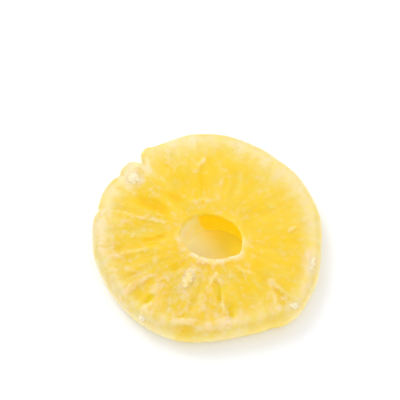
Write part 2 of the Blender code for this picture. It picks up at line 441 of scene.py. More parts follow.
def line(start, end, count):
    """Points between two points of the cross-section, with neither end."""
    points = []
    for step in range(1, count + 1):
        part = step / (count + 1)
        points.append((start[0] + (end[0] - start[0]) * part, start[1] + (end[1] - start[1]) * part))
    return points


def cross_section():
    """The closed outline of the cut slice: over the top, down the side, and back underneath."""
    top_ring = HOLE_RADIUS + HOLE_TOP_EDGE
    base_ring = HOLE_RADIUS + HOLE_BOTTOM_EDGE
    inner_top = arc((top_ring, THICKNESS - HOLE_TOP_EDGE), HOLE_TOP_EDGE, 180, 90, EDGE_POINTS)
    outer_top = arc((OUTER_RADIUS - TOP_EDGE, THICKNESS - TOP_EDGE), TOP_EDGE, 90, 0, EDGE_POINTS)
    outer_base = arc((OUTER_RADIUS - BOTTOM_EDGE, BOTTOM_EDGE), BOTTOM_EDGE, 0, -90, EDGE_POINTS)
    inner_base = arc((base_ring, HOLE_BOTTOM_EDGE), HOLE_BOTTOM_EDGE, 270, 180, EDGE_POINTS)
    points = inner_top
    points += line(inner_top[-1], outer_top[0], TOP_POINTS)
    points += outer_top
    points += line(outer_top[-1], outer_base[0], WALL_POINTS)
    points += outer_base
    points += line(outer_base[-1], inner_base[0], BASE_POINTS)
    points += inner_base
    points += line(inner_base[-1], inner_top[0], WALL_POINTS)
    return points


print(len(cross_section()), "points in the section")

# %% Spin
def turned_slice():
    """A round slice: its cross-section, spun once round the Z axis."""
    shape = bmesh.new()
    corners = [shape.verts.new((x, 0, z)) for x, z in cross_section()]
    edges = [shape.edges.new((corner, corners[step - 1])) for step, corner in enumerate(corners)]
    bmesh.ops.spin(
        shape, geom=corners + edges, cent=(0, 0, 0), axis=(0, 0, 1),
        angle=2 * math.pi, steps=TURN_STEPS, use_merge=True,
    )
    bmesh.ops.recalc_face_normals(shape, faces=shape.faces)
    return shape


slice_shape = turned_slice()
print("turned slice:", len(slice_shape.verts), "points,", len(slice_shape.faces), "faces")

# %% [markdown]
# ## From round to real
# Each point of the round slice knows its angle and how far it lies between hole and side. The functions
# above give it its real place. While it is moved, the slice also notes what its material will need: how
# near the rim it is, how deep in a furrow, how high on a crusted ridge. These notes are stored on the
# points as attributes, so the colour follows the form exactly, and goes with the mesh wherever it is
# exported.

# %% Colour features
# Windows of moist flesh with no sugar on it: as the furrows, with a strength in place of the depth
WINDOWS = (
    (154, 19.2, 11.5, 4.6, 0.75, 0),
    (132, 15.2, 6.0, 4.0, 0.6, 20),
    (94, 17.0, 7.0, 2.4, 0.6, 0),
    (114, 18.2, 11.5, 8.0, 0.3, 38),
    (195, 19.0, 5.0, 3.0, 1.0, -20),
    (192, 15.2, 3.6, 2.0, 0.8, 0),
    (235, 16.0, 5.5, 3.0, 0.8, -12),
    (234, 30.3, 3.2, 2.2, 0.8, 0),
    (230, 31.8, 4.4, 3.2, 0.5, 3),
    (280, 22.9, 5.2, 1.8, 0.8, -15),
    (284, 29.7, 4.8, 1.6, 0.7, -20),
    (258, 36.0, 6.0, 4.4, 0.8, 90),
    (293, 38.0, 4.0, 3.0, 0.5, 90),
    (304, 38.4, 5.0, 7.0, 0.9, 0),
    (300, 24.4, 6.1, 2.8, 0.5, 56),
    (320, 20.6, 4.0, 2.8, 0.5, 13),
    (330, 21.0, 10.0, 8.0, 0.15, 55),
    (30, 17.9, 6.0, 5.0, 0.3, 0),
)
# Thin threads of sugared fibre
THREADS = (
    (190, 33.2, 6.0, 0.6, 0.8, -18),
    (193, 32.0, 7.0, 0.6, 0.5, -16),
    (200, 30.0, 4.8, 1.1, 0.6, -30),
    (214, 28.0, 5.4, 1.4, 0.7, -63),
    (175, 26.0, 4.3, 2.1, 0.8, -14),
    (182, 21.3, 4.1, 1.4, 0.6, -8),
    (163, 14.2, 8.5, 0.9, 0.5, 2),
    (281, 18.7, 5.2, 1.1, 1.0, 14),
    (310, 33.2, 5.2, 2.5, 0.6, 64),
    (359, 26.8, 3.2, 1.2, 0.2, 37),
    (339, 32.0, 5.4, 2.1, 0.5, -84),
    (35, 23.1, 2.6, 1.4, 0.6, -80),
    (23, 21.8, 2.2, 1.2, 0.5, -80),
    (317, 27.0, 2.0, 1.1, 1.0, 60),
    (315, 28.9, 2.4, 1.1, 1.0, 20),
    (270, 34.6, 5.7, 1.4, 0.7, -8),
    (274, 36.8, 6.0, 1.1, 0.5, 90),
    (264, 34.1, 6.3, 1.4, 0.5, 56),
    (279, 32.6, 4.3, 2.8, 0.6, -56),
    (266, 25.2, 5.5, 1.4, 0.7, 8),
    (253, 19.3, 10.0, 1.4, 0.6, -9),
    (110, 25.0, 3.0, 1.8, 0.7, 27),
)
# Clumps of sugar: angle, distance from the middle, then length, width and height
CLUMPS = (
    (142.6, 30.3, 4.4, 4.4, 1.7),
    (236.4, 36.6, 3.0, 2.3, 1.7),
    (314.7, 37.6, 2.1, 2.8, 1.4),
    (338.2, 35.0, 1.8, 5.6, 1.0),
    (251.0, 19.7, 6.0, 2.8, 0.7),
)
# Broad patches where the sugar lies thick
FROSTED = (
    (127, 32.5, 17.5, 9.0, 0.4, 76),
    (241, 25.8, 15.0, 14.0, 0.35, 90),
    (276, 33.0, 14.0, 7.0, 0.6, 90),
    (248, 31.5, 16.0, 6.0, 0.5, 90),
    (292, 31.0, 12.0, 6.0, 0.5, 90),
    (309, 33.5, 8.0, 8.0, 0.25, 27),
    (271, 28.5, 13.0, 6.0, 0.35, 90),
    (264, 16.0, 10.0, 6.4, 0.35, -66),
)

# %% How the sugar lies
# Finer fibres than the solid slice has, and how much of them shows where no sugar lies
FINE_FIBRES = (
    (130, 7.0, 0.08),
    (260, 4.0, 0.03),
)
FINE_SHARE = 0.4
THREAD_HEIGHT = 0.12
CRUST_GRAIN = 0.9
CRUST_HEIGHT = 0.08

# The foot of crusted sugar round each clump
HALO_SIZE = 1.7
HALO_HEIGHT = 0.2
HALOES = tuple(
    (place, distance, HALO_SIZE * length, HALO_SIZE * width, 1.0, 0)
    for place, distance, length, width, _ in CLUMPS
)

# Patches of sugar: size, average share, how much they differ, and how much more lies at the front left.
# Then the size of the waves that shift what is drawn, and how far they shift it.
PATCH_SIZE = 6.0
PATCH_SHARE = 0.37
PATCH_SWING = 0.55
PATCH_LEAN = 0.50
WANDER_SIZE = 2.6
WANDER = 0.9
WANDER_APART = Vector((7.1, 3.3, 1.9))

# How pale each kind of feature is, how much crust the rest brings, how much of it a window takes away, the
# width of the crust round the hole, and from what depth a furrow counts as a slot
RIDGE_PALE = 1.8
THREAD_PALE = 0.9
FROSTED_PALE = 0.4
HALO_CRUST = 0.5
PATCH_CRUST = 0.6
WINDOW_BARE = 0.6
COLLAR_WIDTH = 1.4
SLOT_START = 0.27
SLOT_RANGE = 0.2


def patchiness(x, y):
    """Where the sugar has settled: broad patches, more of them at the front and the left."""
    patch = noise.noise(Vector((x, y, 3.7)) / PATCH_SIZE)
    patch += 0.5 * noise.noise(Vector((x, y, 9.1)) / (PATCH_SIZE / 2.3))
    lean = (-0.6 * x - 0.8 * y) / OUTER_RADIUS
    return smooth(PATCH_SHARE + PATCH_SWING * patch + PATCH_LEAN * lean)


def wander(x, y):
    """Shifts a point a little, so that what is drawn there gets an uneven edge."""
    spot = Vector((x, y, 5.3)) / WANDER_SIZE
    return x + WANDER * noise.noise(spot), y + WANDER * noise.noise(spot + WANDER_APART)


print("sugar crusts cover", len(FROSTED), "broad patches and", len(THREADS), "threads")

# %% [markdown]
# ## Light in the flesh
# The rim is thin and pale, and part of its paleness is painted light from behind. The hole's wall is lit
# through the flesh, and that light is painted into its colour too: paler on the near wall, while seen from
# the front, the far wall glows deep yellow in the shape of a lens, which is painted shade with light of its
# own, and which ends in a tip at the left, and a softer glow goes on beyond it.

# %% How the light lies
# The pale band, partly the thin rim's own cream and partly painted light from behind, which makes it broad
# at the back: its strength, its middle, its width at the front and the back, the painted shade that dims it
# at the very edge of the back, how it thins at the golden lower right, and a little light on the near rim
RIM_STRENGTH = 1.35
RIM_TURN = math.radians(88)
RIM_FRONT = 7.0
RIM_BACK = 14.0
BACK_SHADE_WIDTH = 3.5
BACK_SHADE_DIP = 0.5
GOLDEN_RIM = math.radians(285)
GOLDEN_SPREAD = math.radians(42)
GOLDEN_DIP = 0.45
NEAR_RIM_LIGHT = 0.16

# Painted shade on the flesh: between the crusts where sugar patches lie, at the brim by the notch, where
# the lamp falls strongest, and high on the hole's near wall
PATCH_SHADE = 0.06
BRIM_TURN = math.radians(130)
BRIM_SHADE = 0.14
BRIM_WIDTH = 5.0
WALL_SHADE = 0.05

# The hole's wall: its share of the section, how deep its lip is, the lens that glows on its far side, the
# tip that a shadow leaves of it at the left, and the softer glow beyond
WALL_PART = 0.03
LIP_DEPTH = 1.6
WALL_TURN = math.radians(58)
WALL_SPREAD = math.radians(66)
SHADOW_START = math.radians(128)
SHADOW_SPREAD = math.radians(44)
SHADOW_REACH = 1.2
SHADOW_SOFTNESS = 0.15
TIP_SPREAD = math.radians(20)
FADE_START = math.radians(42)
FADE_SPREAD = math.radians(50)
FADE_SHARE = 0.28


def rim_paleness(outward, angle):
    """How pale the rim is, partly as painted light from behind: broad at the back, narrow at the front,
    and least at the lower right. Painted shade dims it at the very edge of the back.
    """
    back = smooth(0.5 + 0.5 * math.cos(angle - RIM_TURN))
    band = 1 - smooth(outward / (RIM_FRONT + (RIM_BACK - RIM_FRONT) * back))
    golden = GOLDEN_DIP * math.exp(-(turn_between(angle, GOLDEN_RIM) / GOLDEN_SPREAD) ** 2)
    # painted shade at the very edge of the back, where the lamp falls strongest
    thin = BACK_SHADE_DIP * back * back * (1 - smooth(outward / BACK_SHADE_WIDTH))
    return min(1.0, RIM_STRENGTH * band) * (1 - golden) * (1 - thin)


def side_light(part, top_share, outward, angle):
    """Light that leaves the flesh at its side: most low down, and a little on the near rim."""
    near = 1 - smooth(0.5 + 0.5 * math.cos(angle - RIM_TURN))
    near_rim = NEAR_RIM_LIGHT * near * (1 - smooth(outward / RIM_FRONT))
    return max(part * (1 - top_share), near_rim)


def far_wall_glow(wall, facing, depth):
    """How much a point of the hole's wall glows: a lens on the far side, and a soft rest beside it."""
    turn = turn_between(facing, WALL_TURN)
    lens = wall * math.exp(-(turn / WALL_SPREAD) ** 10)
    foot = SHADOW_REACH * math.sqrt(max(0.0, SHADOW_START - facing) / SHADOW_SPREAD)
    lens *= 1 - smooth((depth - foot) / SHADOW_SOFTNESS + 0.5)
    lens *= smooth((SHADOW_START - facing) / TIP_SPREAD)
    return max(lens, FADE_SHARE * wall * (1 - smooth((abs(turn) - FADE_START) / FADE_SPREAD)))


print("the far wall glows over", round(math.degrees(2 * WALL_SPREAD)), "degrees")

# %% Shape the slice
def shape_slice(shape):
    """Moves the points to the uneven slice, and gives each one's notes for the material."""
    notes = []
    for vertex in shape.verts:
        round_x, round_y, z = vertex.co
        angle = math.atan2(round_y, round_x)
        depth = 1 - z / THICKNESS
        part = (math.hypot(round_x, round_y) - HOLE_RADIUS) / (OUTER_RADIUS - HOLE_RADIUS)
        side = outline(angle)
        swell = noise.noise(Vector((side.x, side.y, z + SEED)) / SIDE_SWELL_SIZE)
        side += side.normalized() * swell * SIDE_SWELL_HEIGHT * smooth(z / BOTTOM_EDGE)
        edge = hole_edge(angle, depth)
        x, y = edge.lerp(side, part)
        inward = part * (side - edge).length
        outward = (1 - part) * (side - edge).length
        top_share = smooth((z / THICKNESS - 0.4) / 0.6)

        # What is felt here of each kind of feature
        furrow = felt(FURROWS, x, y)
        ridge = felt(RIDGES, x, y)
        halo = felt(HALOES, x, y)
        drawn = wander(x, y)
        window = felt(WINDOWS, *drawn)
        thread = felt(THREADS, *drawn)
        frosted = felt(FROSTED, *drawn)
        fibre = fibre_height(x, y, FIBRES)
        patch = patchiness(x, y)

        # The sugar that these bring, with a collar of it round the hole
        collar = math.exp(-(inward / COLLAR_WIDTH) ** 2) * smooth(0.3 - 0.7 * math.sin(angle))
        pale = min(1.0, RIDGE_PALE * ridge + THREAD_PALE * thread + FROSTED_PALE * frosted)
        crust = pale + collar + HALO_CRUST * halo + PATCH_CRUST * patch * smooth(0.5 + 1.2 * fibre)
        crust = min(1.0, max(0.0, crust - WINDOW_BARE * window))

        # The relief, which fades out down the sides
        lift = SWELL_HEIGHT * noise.noise(Vector((x, y, SEED)) / SWELL_SIZE)
        lift += fibre + ridge - furrow - streak(x, y, FACET)
        lift += fibre_height(x, y, FINE_FIBRES) * (FINE_SHARE + patch)
        lift += noise.noise(Vector((x, y, z)) / CRUST_GRAIN) * CRUST_HEIGHT * crust
        lift += THREAD_HEIGHT * thread + HALO_HEIGHT * halo
        vertex.co = (x, y, z + lift * top_share)

        # Painted shade at the brim, and painted light and shade on the hole's wall
        brim = smooth(0.5 + 0.6 * math.cos(angle - BRIM_TURN)) * (1 - smooth(outward / BRIM_WIDTH))
        facing = math.atan2(edge.y - HOLE_CENTRE.y, edge.x - HOLE_CENTRE.x)
        wall = (1 - smooth(part / WALL_PART)) * smooth((THICKNESS - z) / LIP_DEPTH)
        far_wall = far_wall_glow(wall, facing, depth)
        wall_shade = WALL_SHADE * (wall - far_wall) * z / THICKNESS

        # The fibres' pattern runs on down the wall and the side, the one inwards and the other outwards
        travel = inward + (THICKNESS - z) * max(-1.0, min(1.0, (2 * part - 1) * 1.4))
        bare = window * max(top_share, smooth((part - 0.9) / 0.1))
        notes.append({
            "clear": min(1.0, 0.5 * furrow * top_share + bare),
            "crust": crust * top_share,
            "pale": pale * top_share,
            "collar": min(1.0, 1.2 * collar + 0.7 * halo) * top_share,
            "slot": smooth((furrow - SLOT_START) / SLOT_RANGE),
            # painted shade between sugar patches, at the brim and high on the near wall
            "shade": PATCH_SHADE * patch + BRIM_SHADE * brim + wall_shade,
            "side": side_light(part, top_share, outward, angle),
            "loose": looseness((Vector((x, y)) - HOLE_CENTRE).length),
            "rim": rim_paleness(outward, angle) * (0.8 + 0.2 * top_share),
            "wall": wall,
            "depth": depth,
            "far_wall": far_wall,
            "top": top_share,
            "part": part,
            "fibre_way": (math.cos(angle), math.sin(angle), travel),
        })
    return notes


slice_notes = shape_slice(slice_shape)
all_x = [vertex.co.x for vertex in slice_shape.verts]
all_y = [vertex.co.y for vertex in slice_shape.verts]
slice_middle = Vector((min(all_x) + max(all_x), min(all_y) + max(all_y), 0)) / 2
print("slice in mm:", round(max(all_x) - min(all_x), 1), "by", round(max(all_y) - min(all_y), 1))

# %% [markdown]
# ## Sugar
# Two kinds of sugar lie on the slice. Clumps the size of a peppercorn have set where syrup pooled, and they
# stand at the same places as on the solid slice. Between them lie two thousand single grains. A particle
# system would scatter them quickly but would be lost on export, so both are plain meshes: a clump is a heap
# of small crusts, and the grains are one small crystal, copied by arrays to seeded places.

# %% Clumps of sugar
# How far a heap sits from the surface, as a share of its height, and its fine roughness
CLUMP_SUNK = -0.05
CLUMP_GRAIN = 0.3
CLUMP_ROUGHNESS = 0.3
# The small crusts of a heap: how many for its size, how wide each is, how far out they lie, the turn from
# one to the next, how much lower the outer ones are, their uneven form, and how steep their sides are
LUMPS_PER_AREA = 1.45
LUMP_SMALLEST = 0.9
LUMP_LARGEST = 1.5
LUMP_SPREAD = 0.42
LUMP_TURN = 2.4
LUMP_SLOPE = 1.7
LUMP_WOBBLE = 0.4
BELL = 0.6
# The first clumps are white, the last is a loose heap that takes the colour of the flesh
WHITEST_CLUMPS = 4
WHITE_LUMPS = (0.7, 1.3)
WARM_LUMPS = (-0.8, 0.7)
UPRIGHT = Vector((0, 0, 1))


def drop(surface, x, y):
    """Where a thing dropped at a point lands, and the way up from there, leaned towards upright."""
    spot, normal, _, _ = surface.ray_cast(Vector((x, y, 2 * THICKNESS)), -UPRIGHT)
    return spot, (normal + UPRIGHT).normalized()


def add_clump(shape, spot, normal, size, turn, white):
    """Lays one clump on the surface: a heap of small crusts, the inner ones higher."""
    tilt = UPRIGHT.rotation_difference(normal).to_matrix().to_4x4()
    place = Matrix.Translation(spot + normal * size.z * CLUMP_SUNK) @ tilt @ Matrix.Rotation(turn, 4, "Z")
    paleness = shape.verts.layers.float["paleness"]
    chance = random.Random(round(spot.x * 1000 + spot.y))
    count = round(LUMPS_PER_AREA * size.x * size.y)
    for step in range(count):
        away = LUMP_SPREAD * math.sqrt(step / count)
        heading = LUMP_TURN * step + chance.uniform(-0.4, 0.4)
        centre = Vector((away * math.cos(heading) * size.x, away * math.sin(heading) * size.y, 0))
        wide = chance.uniform(LUMP_SMALLEST, LUMP_LARGEST)
        lump = Vector((wide, wide, size.z * (1 - LUMP_SLOPE * away) * chance.uniform(0.6, 1.0)))
        whiteness = chance.uniform(*(WHITE_LUMPS if white else WARM_LUMPS))
        for vertex in bmesh.ops.create_icosphere(shape, subdivisions=2, radius=0.5)["verts"]:
            foot = min(1.0, 4 * (vertex.co.x**2 + vertex.co.y**2))
            bell = (1 - foot) ** BELL
            vertex.co.z = math.copysign(bell / 2, vertex.co.z)
            vertex.co *= 1 + LUMP_WOBBLE * noise.noise(vertex.co * 2.5 + spot * 3 + centre * 5)
            scaled = Vector((vertex.co.x * lump.x, vertex.co.y * lump.y, vertex.co.z * lump.z)) + centre
            rough = noise.noise((scaled + spot * 7) / CLUMP_GRAIN) * CLUMP_GRAIN * CLUMP_ROUGHNESS
            vertex.co = place @ (scaled + vertex.co.normalized() * rough)
            vertex[paleness] = bell * whiteness


def lay_clumps(surface):
    """All the clumps, each with its foot on the slice."""
    shape = bmesh.new()
    shape.verts.layers.float.new("paleness")
    for step, (place, distance, length, width, height) in enumerate(CLUMPS):
        angle = math.radians(place)
        spot, normal = drop(surface, distance * math.cos(angle), distance * math.sin(angle))
        size = Vector((length, width, height))
        add_clump(shape, spot, normal, size, angle, white=step < WHITEST_CLUMPS)
    return shape


surface = BVHTree.FromBMesh(slice_shape)
clump_shape = lay_clumps(surface)
print("clumps:", len(CLUMPS), "with", len(clump_shape.faces), "faces")

# %% Grains of sugar
# How many, and their sizes
GRAIN_COUNT = 2000
GRAIN_SMALLEST = 0.10
GRAIN_LARGEST = 0.30
# How likely a grain is on bare flesh and on the rim, against 1 on full crust, and at the hole against the
# side
BARE_CHANCE = 0.03
RIM_CHANCE = 0.25
CORE_CHANCE = 0.2


def crystal():
    """One crystal of sugar: a cube of side 1, as corners and faces."""
    shape = bmesh.new()
    bmesh.ops.create_cube(shape, size=1.0)
    corners = np.array([vertex.co[:] for vertex in shape.verts])
    faces = np.array([[vertex.index for vertex in face.verts] for face in shape.faces])
    shape.free()
    return corners, faces


def turns(draw, count):
    """Random rotation matrices, one for each grain."""
    raw = draw.normal(size=(count, 4))
    w, x, y, z = (raw / np.linalg.norm(raw, axis=1, keepdims=True)).T
    rows = [
        [1 - 2 * (y * y + z * z), 2 * (x * y - z * w), 2 * (x * z + y * w)],
        [2 * (x * y + z * w), 1 - 2 * (x * x + z * z), 2 * (y * z - x * w)],
        [2 * (x * z - y * w), 2 * (y * z + x * w), 1 - 2 * (x * x + y * y)],
    ]
    return np.transpose(np.array(rows), (2, 0, 1))


def scatter_grains(shape, notes):
    """Copies the crystal to seeded points of the slice, most of them where the crust is."""
    draw = np.random.default_rng(SEED)
    points = np.array([vertex.co[:] for vertex in shape.verts])
    crust = np.array([note["crust"] for note in notes])
    rim = np.array([note["rim"] for note in notes])
    top = np.array([note["top"] for note in notes])
    spread = np.array([note["part"] for note in notes]) * (1 - CORE_CHANCE) + CORE_CHANCE
    weight = (BARE_CHANCE + crust**2 + RIM_CHANCE * rim) * top * spread
    chosen = draw.choice(len(points), size=GRAIN_COUNT, replace=False, p=weight / weight.sum())
    sizes = GRAIN_SMALLEST + (GRAIN_LARGEST - GRAIN_SMALLEST) * draw.random(GRAIN_COUNT) ** 2
    corners, faces = crystal()
    stretch = draw.uniform(0.7, 1.3, size=(GRAIN_COUNT, 1, 3))
    local = corners[None] * stretch * sizes[:, None, None]
    turned = np.einsum("nij,nkj->nki", turns(draw, GRAIN_COUNT), local)
    world = turned + points[chosen][:, None]
    shift = np.arange(GRAIN_COUNT)[:, None, None] * len(corners)
    return world.reshape(-1, 3), (faces[None] + shift).reshape(-1, faces.shape[1])


grain_points, grain_faces = scatter_grains(slice_shape, slice_notes)
print("grains:", GRAIN_COUNT, "with", len(grain_faces), "faces")

# %% [markdown]
# ## Finished meshes
# The frame's slice is centred over the origin, so the new meshes are moved by the same amount and scaled to
# metres. The move is taken from the shape itself: the middle of its box goes to the middle of the frame's
# box.

# %% Make the objects
SLICE_NOTES = (
    "clear", "crust", "pale", "collar", "slot", "shade",
    "side", "loose", "rim", "wall", "far_wall", "depth",
)
to_frame = Matrix.Scale(MM, 4) @ Matrix.Translation(-slice_middle)


def finished(name, mesh):
    """An object at the origin, its mesh moved to the frame and scaled to metres."""
    mesh.transform(to_frame)
    mesh.update()
    made = bpy.data.objects.new(name, mesh)
    bpy.context.scene.collection.objects.link(made)
    return made


def mesh_of(name, shape):
    """The mesh of a shape, which is let go."""
    mesh = bpy.data.meshes.new(name)
    shape.to_mesh(mesh)
    shape.free()
    return mesh


def note_attribute(mesh, name, values):
    """Stores one number for each point of the mesh."""
    attribute = mesh.attributes.new(name, "FLOAT", "POINT")
    attribute.data.foreach_set("value", values)


slice_mesh = mesh_of("candied_slice", slice_shape)
for name in SLICE_NOTES:
    note_attribute(slice_mesh, name, [note[name] for note in slice_notes])
way = slice_mesh.attributes.new("fibre_way", "FLOAT_VECTOR", "POINT")
way.data.foreach_set("vector", [value for note in slice_notes for value in note["fibre_way"]])
slice_mesh.shade_smooth()
candied_slice = finished("candied_slice", slice_mesh)

clump_mesh = mesh_of("sugar_clumps", clump_shape)
clump_mesh.shade_smooth()
sugar_clumps = finished("sugar_clumps", clump_mesh)

grain_mesh = bpy.data.meshes.new("sugar_grains")
grain_mesh.from_pydata(grain_points.tolist(), [], grain_faces.tolist())
sugar_grains = finished("sugar_grains", grain_mesh)
for piece in (candied_slice, sugar_clumps, sugar_grains):
    piece.data.calc_loop_triangles()
    print(piece.name, len(piece.data.loop_triangles), "triangles")

# %% [markdown]
# ## Effects that the materials share
# Fibre streaks and sugar frosting are each one node group with named inputs, so that they can be tuned in
# one place. Both put out plain masks from 0 to 1.

# %% Node groups
# The flecks of frost: their size where they are round, and how often they change round the slice and
# outwards where they follow the fibres. Then the same for the veins.
FLECK_SIZE = 1.9 * MM
FIBRE_FLECKS = (13.0, 13.0, 0.24)
VEINS = (8.0, 8.0, 0.15)


def new_group(name, inputs, outputs):
    """An empty shader group: names and kinds of its sockets, with a start value for each input."""
    group = bpy.data.node_groups.new(name, "ShaderNodeTree")
    for label, kind, value in inputs:
        socket = group.interface.new_socket(label, in_out="INPUT", socket_type=kind)
        if value is not None:
            socket.default_value = value
    for label, kind in outputs:
        group.interface.new_socket(label, in_out="OUTPUT", socket_type=kind)
    return group, group.nodes.new("NodeGroupInput"), group.nodes.new("NodeGroupOutput")


def maths(tree, operation, first, second=None, third=None, clamp=False):
    """A Math node. Each value is a number or another node's socket."""
    made = node(tree, "Math", operation=operation, use_clamp=clamp)
    for socket, value in zip(made.inputs, (first, second, third)):
        if value is None:
            continue
        if isinstance(value, (int, float)):
            socket.default_value = value
        else:
            tree.links.new(value, socket)
    return made.outputs["Value"]


def noise_mask(tree, vector, scale, detail, roughness=0.5, distortion=0.0):
    """Soft noise from 0 to 1."""
    made = node(tree, "TexNoise", noise_dimensions="3D")
    made.inputs["Scale"].default_value = scale
    made.inputs["Detail"].default_value = detail
    made.inputs["Roughness"].default_value = roughness
    made.inputs["Distortion"].default_value = distortion
    tree.links.new(vector, made.inputs["Vector"])
    return made.outputs["Fac"]


def fibre_group():
    """Streaks that run out from the core: noise squeezed across the fibres."""
    group, entry, out = new_group(
        "fibre streaks",
        [
            ("Way", "NodeSocketVector", None),
            ("Waves Round", "NodeSocketFloat", 60.0),
            ("Length", "NodeSocketFloat", 10.0),
        ],
        [("Streak", "NodeSocketFloat")],
    )
    girth = maths(group, "DIVIDE", entry.outputs["Waves Round"], 2 * math.pi)
    slow = maths(group, "DIVIDE", 1.0, entry.outputs["Length"])
    scale = node(group, "CombineXYZ")
    group.links.new(girth, scale.inputs["X"])
    group.links.new(girth, scale.inputs["Y"])
    group.links.new(slow, scale.inputs["Z"])
    spot = node(group, "VectorMath", operation="MULTIPLY")
    group.links.new(entry.outputs["Way"], spot.inputs[0])
    group.links.new(scale.outputs["Vector"], spot.inputs[1])
    group.links.new(noise_mask(group, spot.outputs["Vector"], 1.0, 1.5), out.inputs["Streak"])
    return group


def stretched(tree, way, scale):
    """The fibre coordinates, stretched so that what is drawn there runs along the fibres."""
    made = node(tree, "VectorMath", operation="MULTIPLY")
    made.inputs[1].default_value = scale
    tree.links.new(way, made.inputs[0])
    return made.outputs["Vector"]


def frost_group():
    """Crusted sugar: soft flecks that close up as the amount grows, and thin veins along the fibres."""
    group, entry, out = new_group(
        "sugar frost",
        [
            ("Way", "NodeSocketVector", None),
            ("Amount", "NodeSocketFloat", 0.5),
            ("Loose", "NodeSocketFloat", 1.0),
        ],
        [("Frost", "NodeSocketFloat"), ("Cover", "NodeSocketFloat")],
    )
    way = entry.outputs["Way"]
    amount = entry.outputs["Amount"]
    place = node(group, "TexCoord").outputs["Object"]
    even = noise_mask(group, place, 1 / FLECK_SIZE, 1.5, 0.5, 0.3)
    drawn = noise_mask(group, stretched(group, way, FIBRE_FLECKS), 1.0, 1.5, 0.5, 0.4)
    along = between(group, entry.outputs["Loose"], 0.0, 1.0, 0.15, 0.45)
    cover = maths(group, "MULTIPLY_ADD", maths(group, "SUBTRACT", drawn, even), along, even)
    group.links.new(cover, out.inputs["Cover"])
    flecks = between(group, maths(group, "MULTIPLY_ADD", amount, 0.25, cover), 0.52, 0.88)
    swing = noise_mask(group, stretched(group, way, VEINS), 1.0, 1.5, 0.5, 0.8)
    swing = maths(group, "ABSOLUTE", maths(group, "MULTIPLY_ADD", swing, 2.0, -1.0))
    vein = between(group, swing, 0.09, 0.0)
    vein = maths(group, "MULTIPLY", vein, between(group, amount, 0.15, 0.7, 0.0, 0.22))
    vein = maths(group, "MULTIPLY", vein, entry.outputs["Loose"])
    group.links.new(maths(group, "MAXIMUM", flecks, vein), out.inputs["Frost"])
    return group


streaks = fibre_group()
frost = frost_group()
print("groups:", streaks.name, "and", frost.name)

# %% [markdown]
# ## Candied flesh
# The colour runs along one scale, from deep yellow in the furrows, over the plain flesh, to cream where the
# rim is thin and where sugar covers it; at the rim the cream is partly painted light from behind. So one
# number is worked out for each point, and one colour ramp turns it into colour, which painted shade darkens
# in places. Light goes deep into the flesh: red furthest, then green, blue hardly at all, which is why its
# shadows are golden. Sugared parts are rougher than the moist flesh between them.

# %% Material of the slice
# The scale from deep yellow flesh, at 0, to cream, at 1
FLESH_COLOURS = (
    (0.0, (0.890, 0.550, 0.003)),
    (0.2, (0.875, 0.605, 0.020)),
    (0.4, (0.855, 0.620, 0.066)),
    (0.6, (0.845, 0.668, 0.170)),
    (0.8, (0.845, 0.715, 0.350)),
    (1.0, (0.845, 0.760, 0.550)),
)
# Where plain flesh and the rim stand on that scale, and what else moves a point along it. The rim's
# paleness is partly painted light from behind, the side's and the wall's shares are painted light, and the
# far wall's deep yellow is painted shade
FLESH_TONE = 0.36
RIM_TONE = 0.42
BROAD_TONE = 0.45
FINE_TONE = 0.5
FLECK_TONE = 1.1
CALM_SHARE = 0.3
TONES = (
    ("pale", 0.22),
    ("clear", -0.36),
    ("side", 0.15),
    ("wall", 0.42),
)
FAR_WALL_TONE = -1.25
FROST_COLOUR = (0.88, 0.68, 0.38, 1)
FROST_SHARE = 0.75
CRUST_COLOUR = (0.87, 0.76, 0.50, 1)
SLOT_COLOUR = (0.83, 0.64, 0.006, 1)
# Light that leaves the flesh: in deep furrows, at the top and the foot of the hole's near wall and of its
# far wall, and at the side
SLOT_LIGHT = (0.025, 0.02, 0.0, 1)
WALL_TOP_LIGHT = (0.13, 0.11, 0.02, 1)
WALL_FOOT_LIGHT = (0.17, 0.165, 0.07, 1)
FAR_TOP_LIGHT = (0.12, 0.115, 0.0, 1)
FAR_FOOT_LIGHT = (0.23, 0.19, 0.01, 1)
SIDE_LIGHT = (0.13, 0.11, 0.055, 1)
# How deep red, green and blue go into it, and the fine relief in the material
LIGHT_DEPTH = (1.0, 0.7, 0.15)
LIGHT_DEPTH_SCALE = 4.5 * MM
BUMP_STRENGTH = 0.35
BUMP_HEIGHT = 0.12 * MM


def attribute(tree, name, output="Fac"):
    """One of the notes on the points of the mesh."""
    return node(tree, "Attribute", attribute_name=name).outputs[output]


def placed(tree, group, **values):
    """Places a group in a material, with each input a number or another node's socket."""
    made = node(tree, "Group", node_tree=group)
    for label, value in values.items():
        socket = made.inputs[label.replace("_", " ")]
        if isinstance(value, (int, float)):
            socket.default_value = value
        else:
            tree.links.new(value, socket)
    return made.outputs


def streaked(tree, way, waves, length):
    """The fibre streaks around 0, with so many waves round the slice."""
    made = placed(tree, streaks, Way=way, Waves_Round=waves, Length=length)
    return maths(tree, "SUBTRACT", made["Streak"], 0.5)


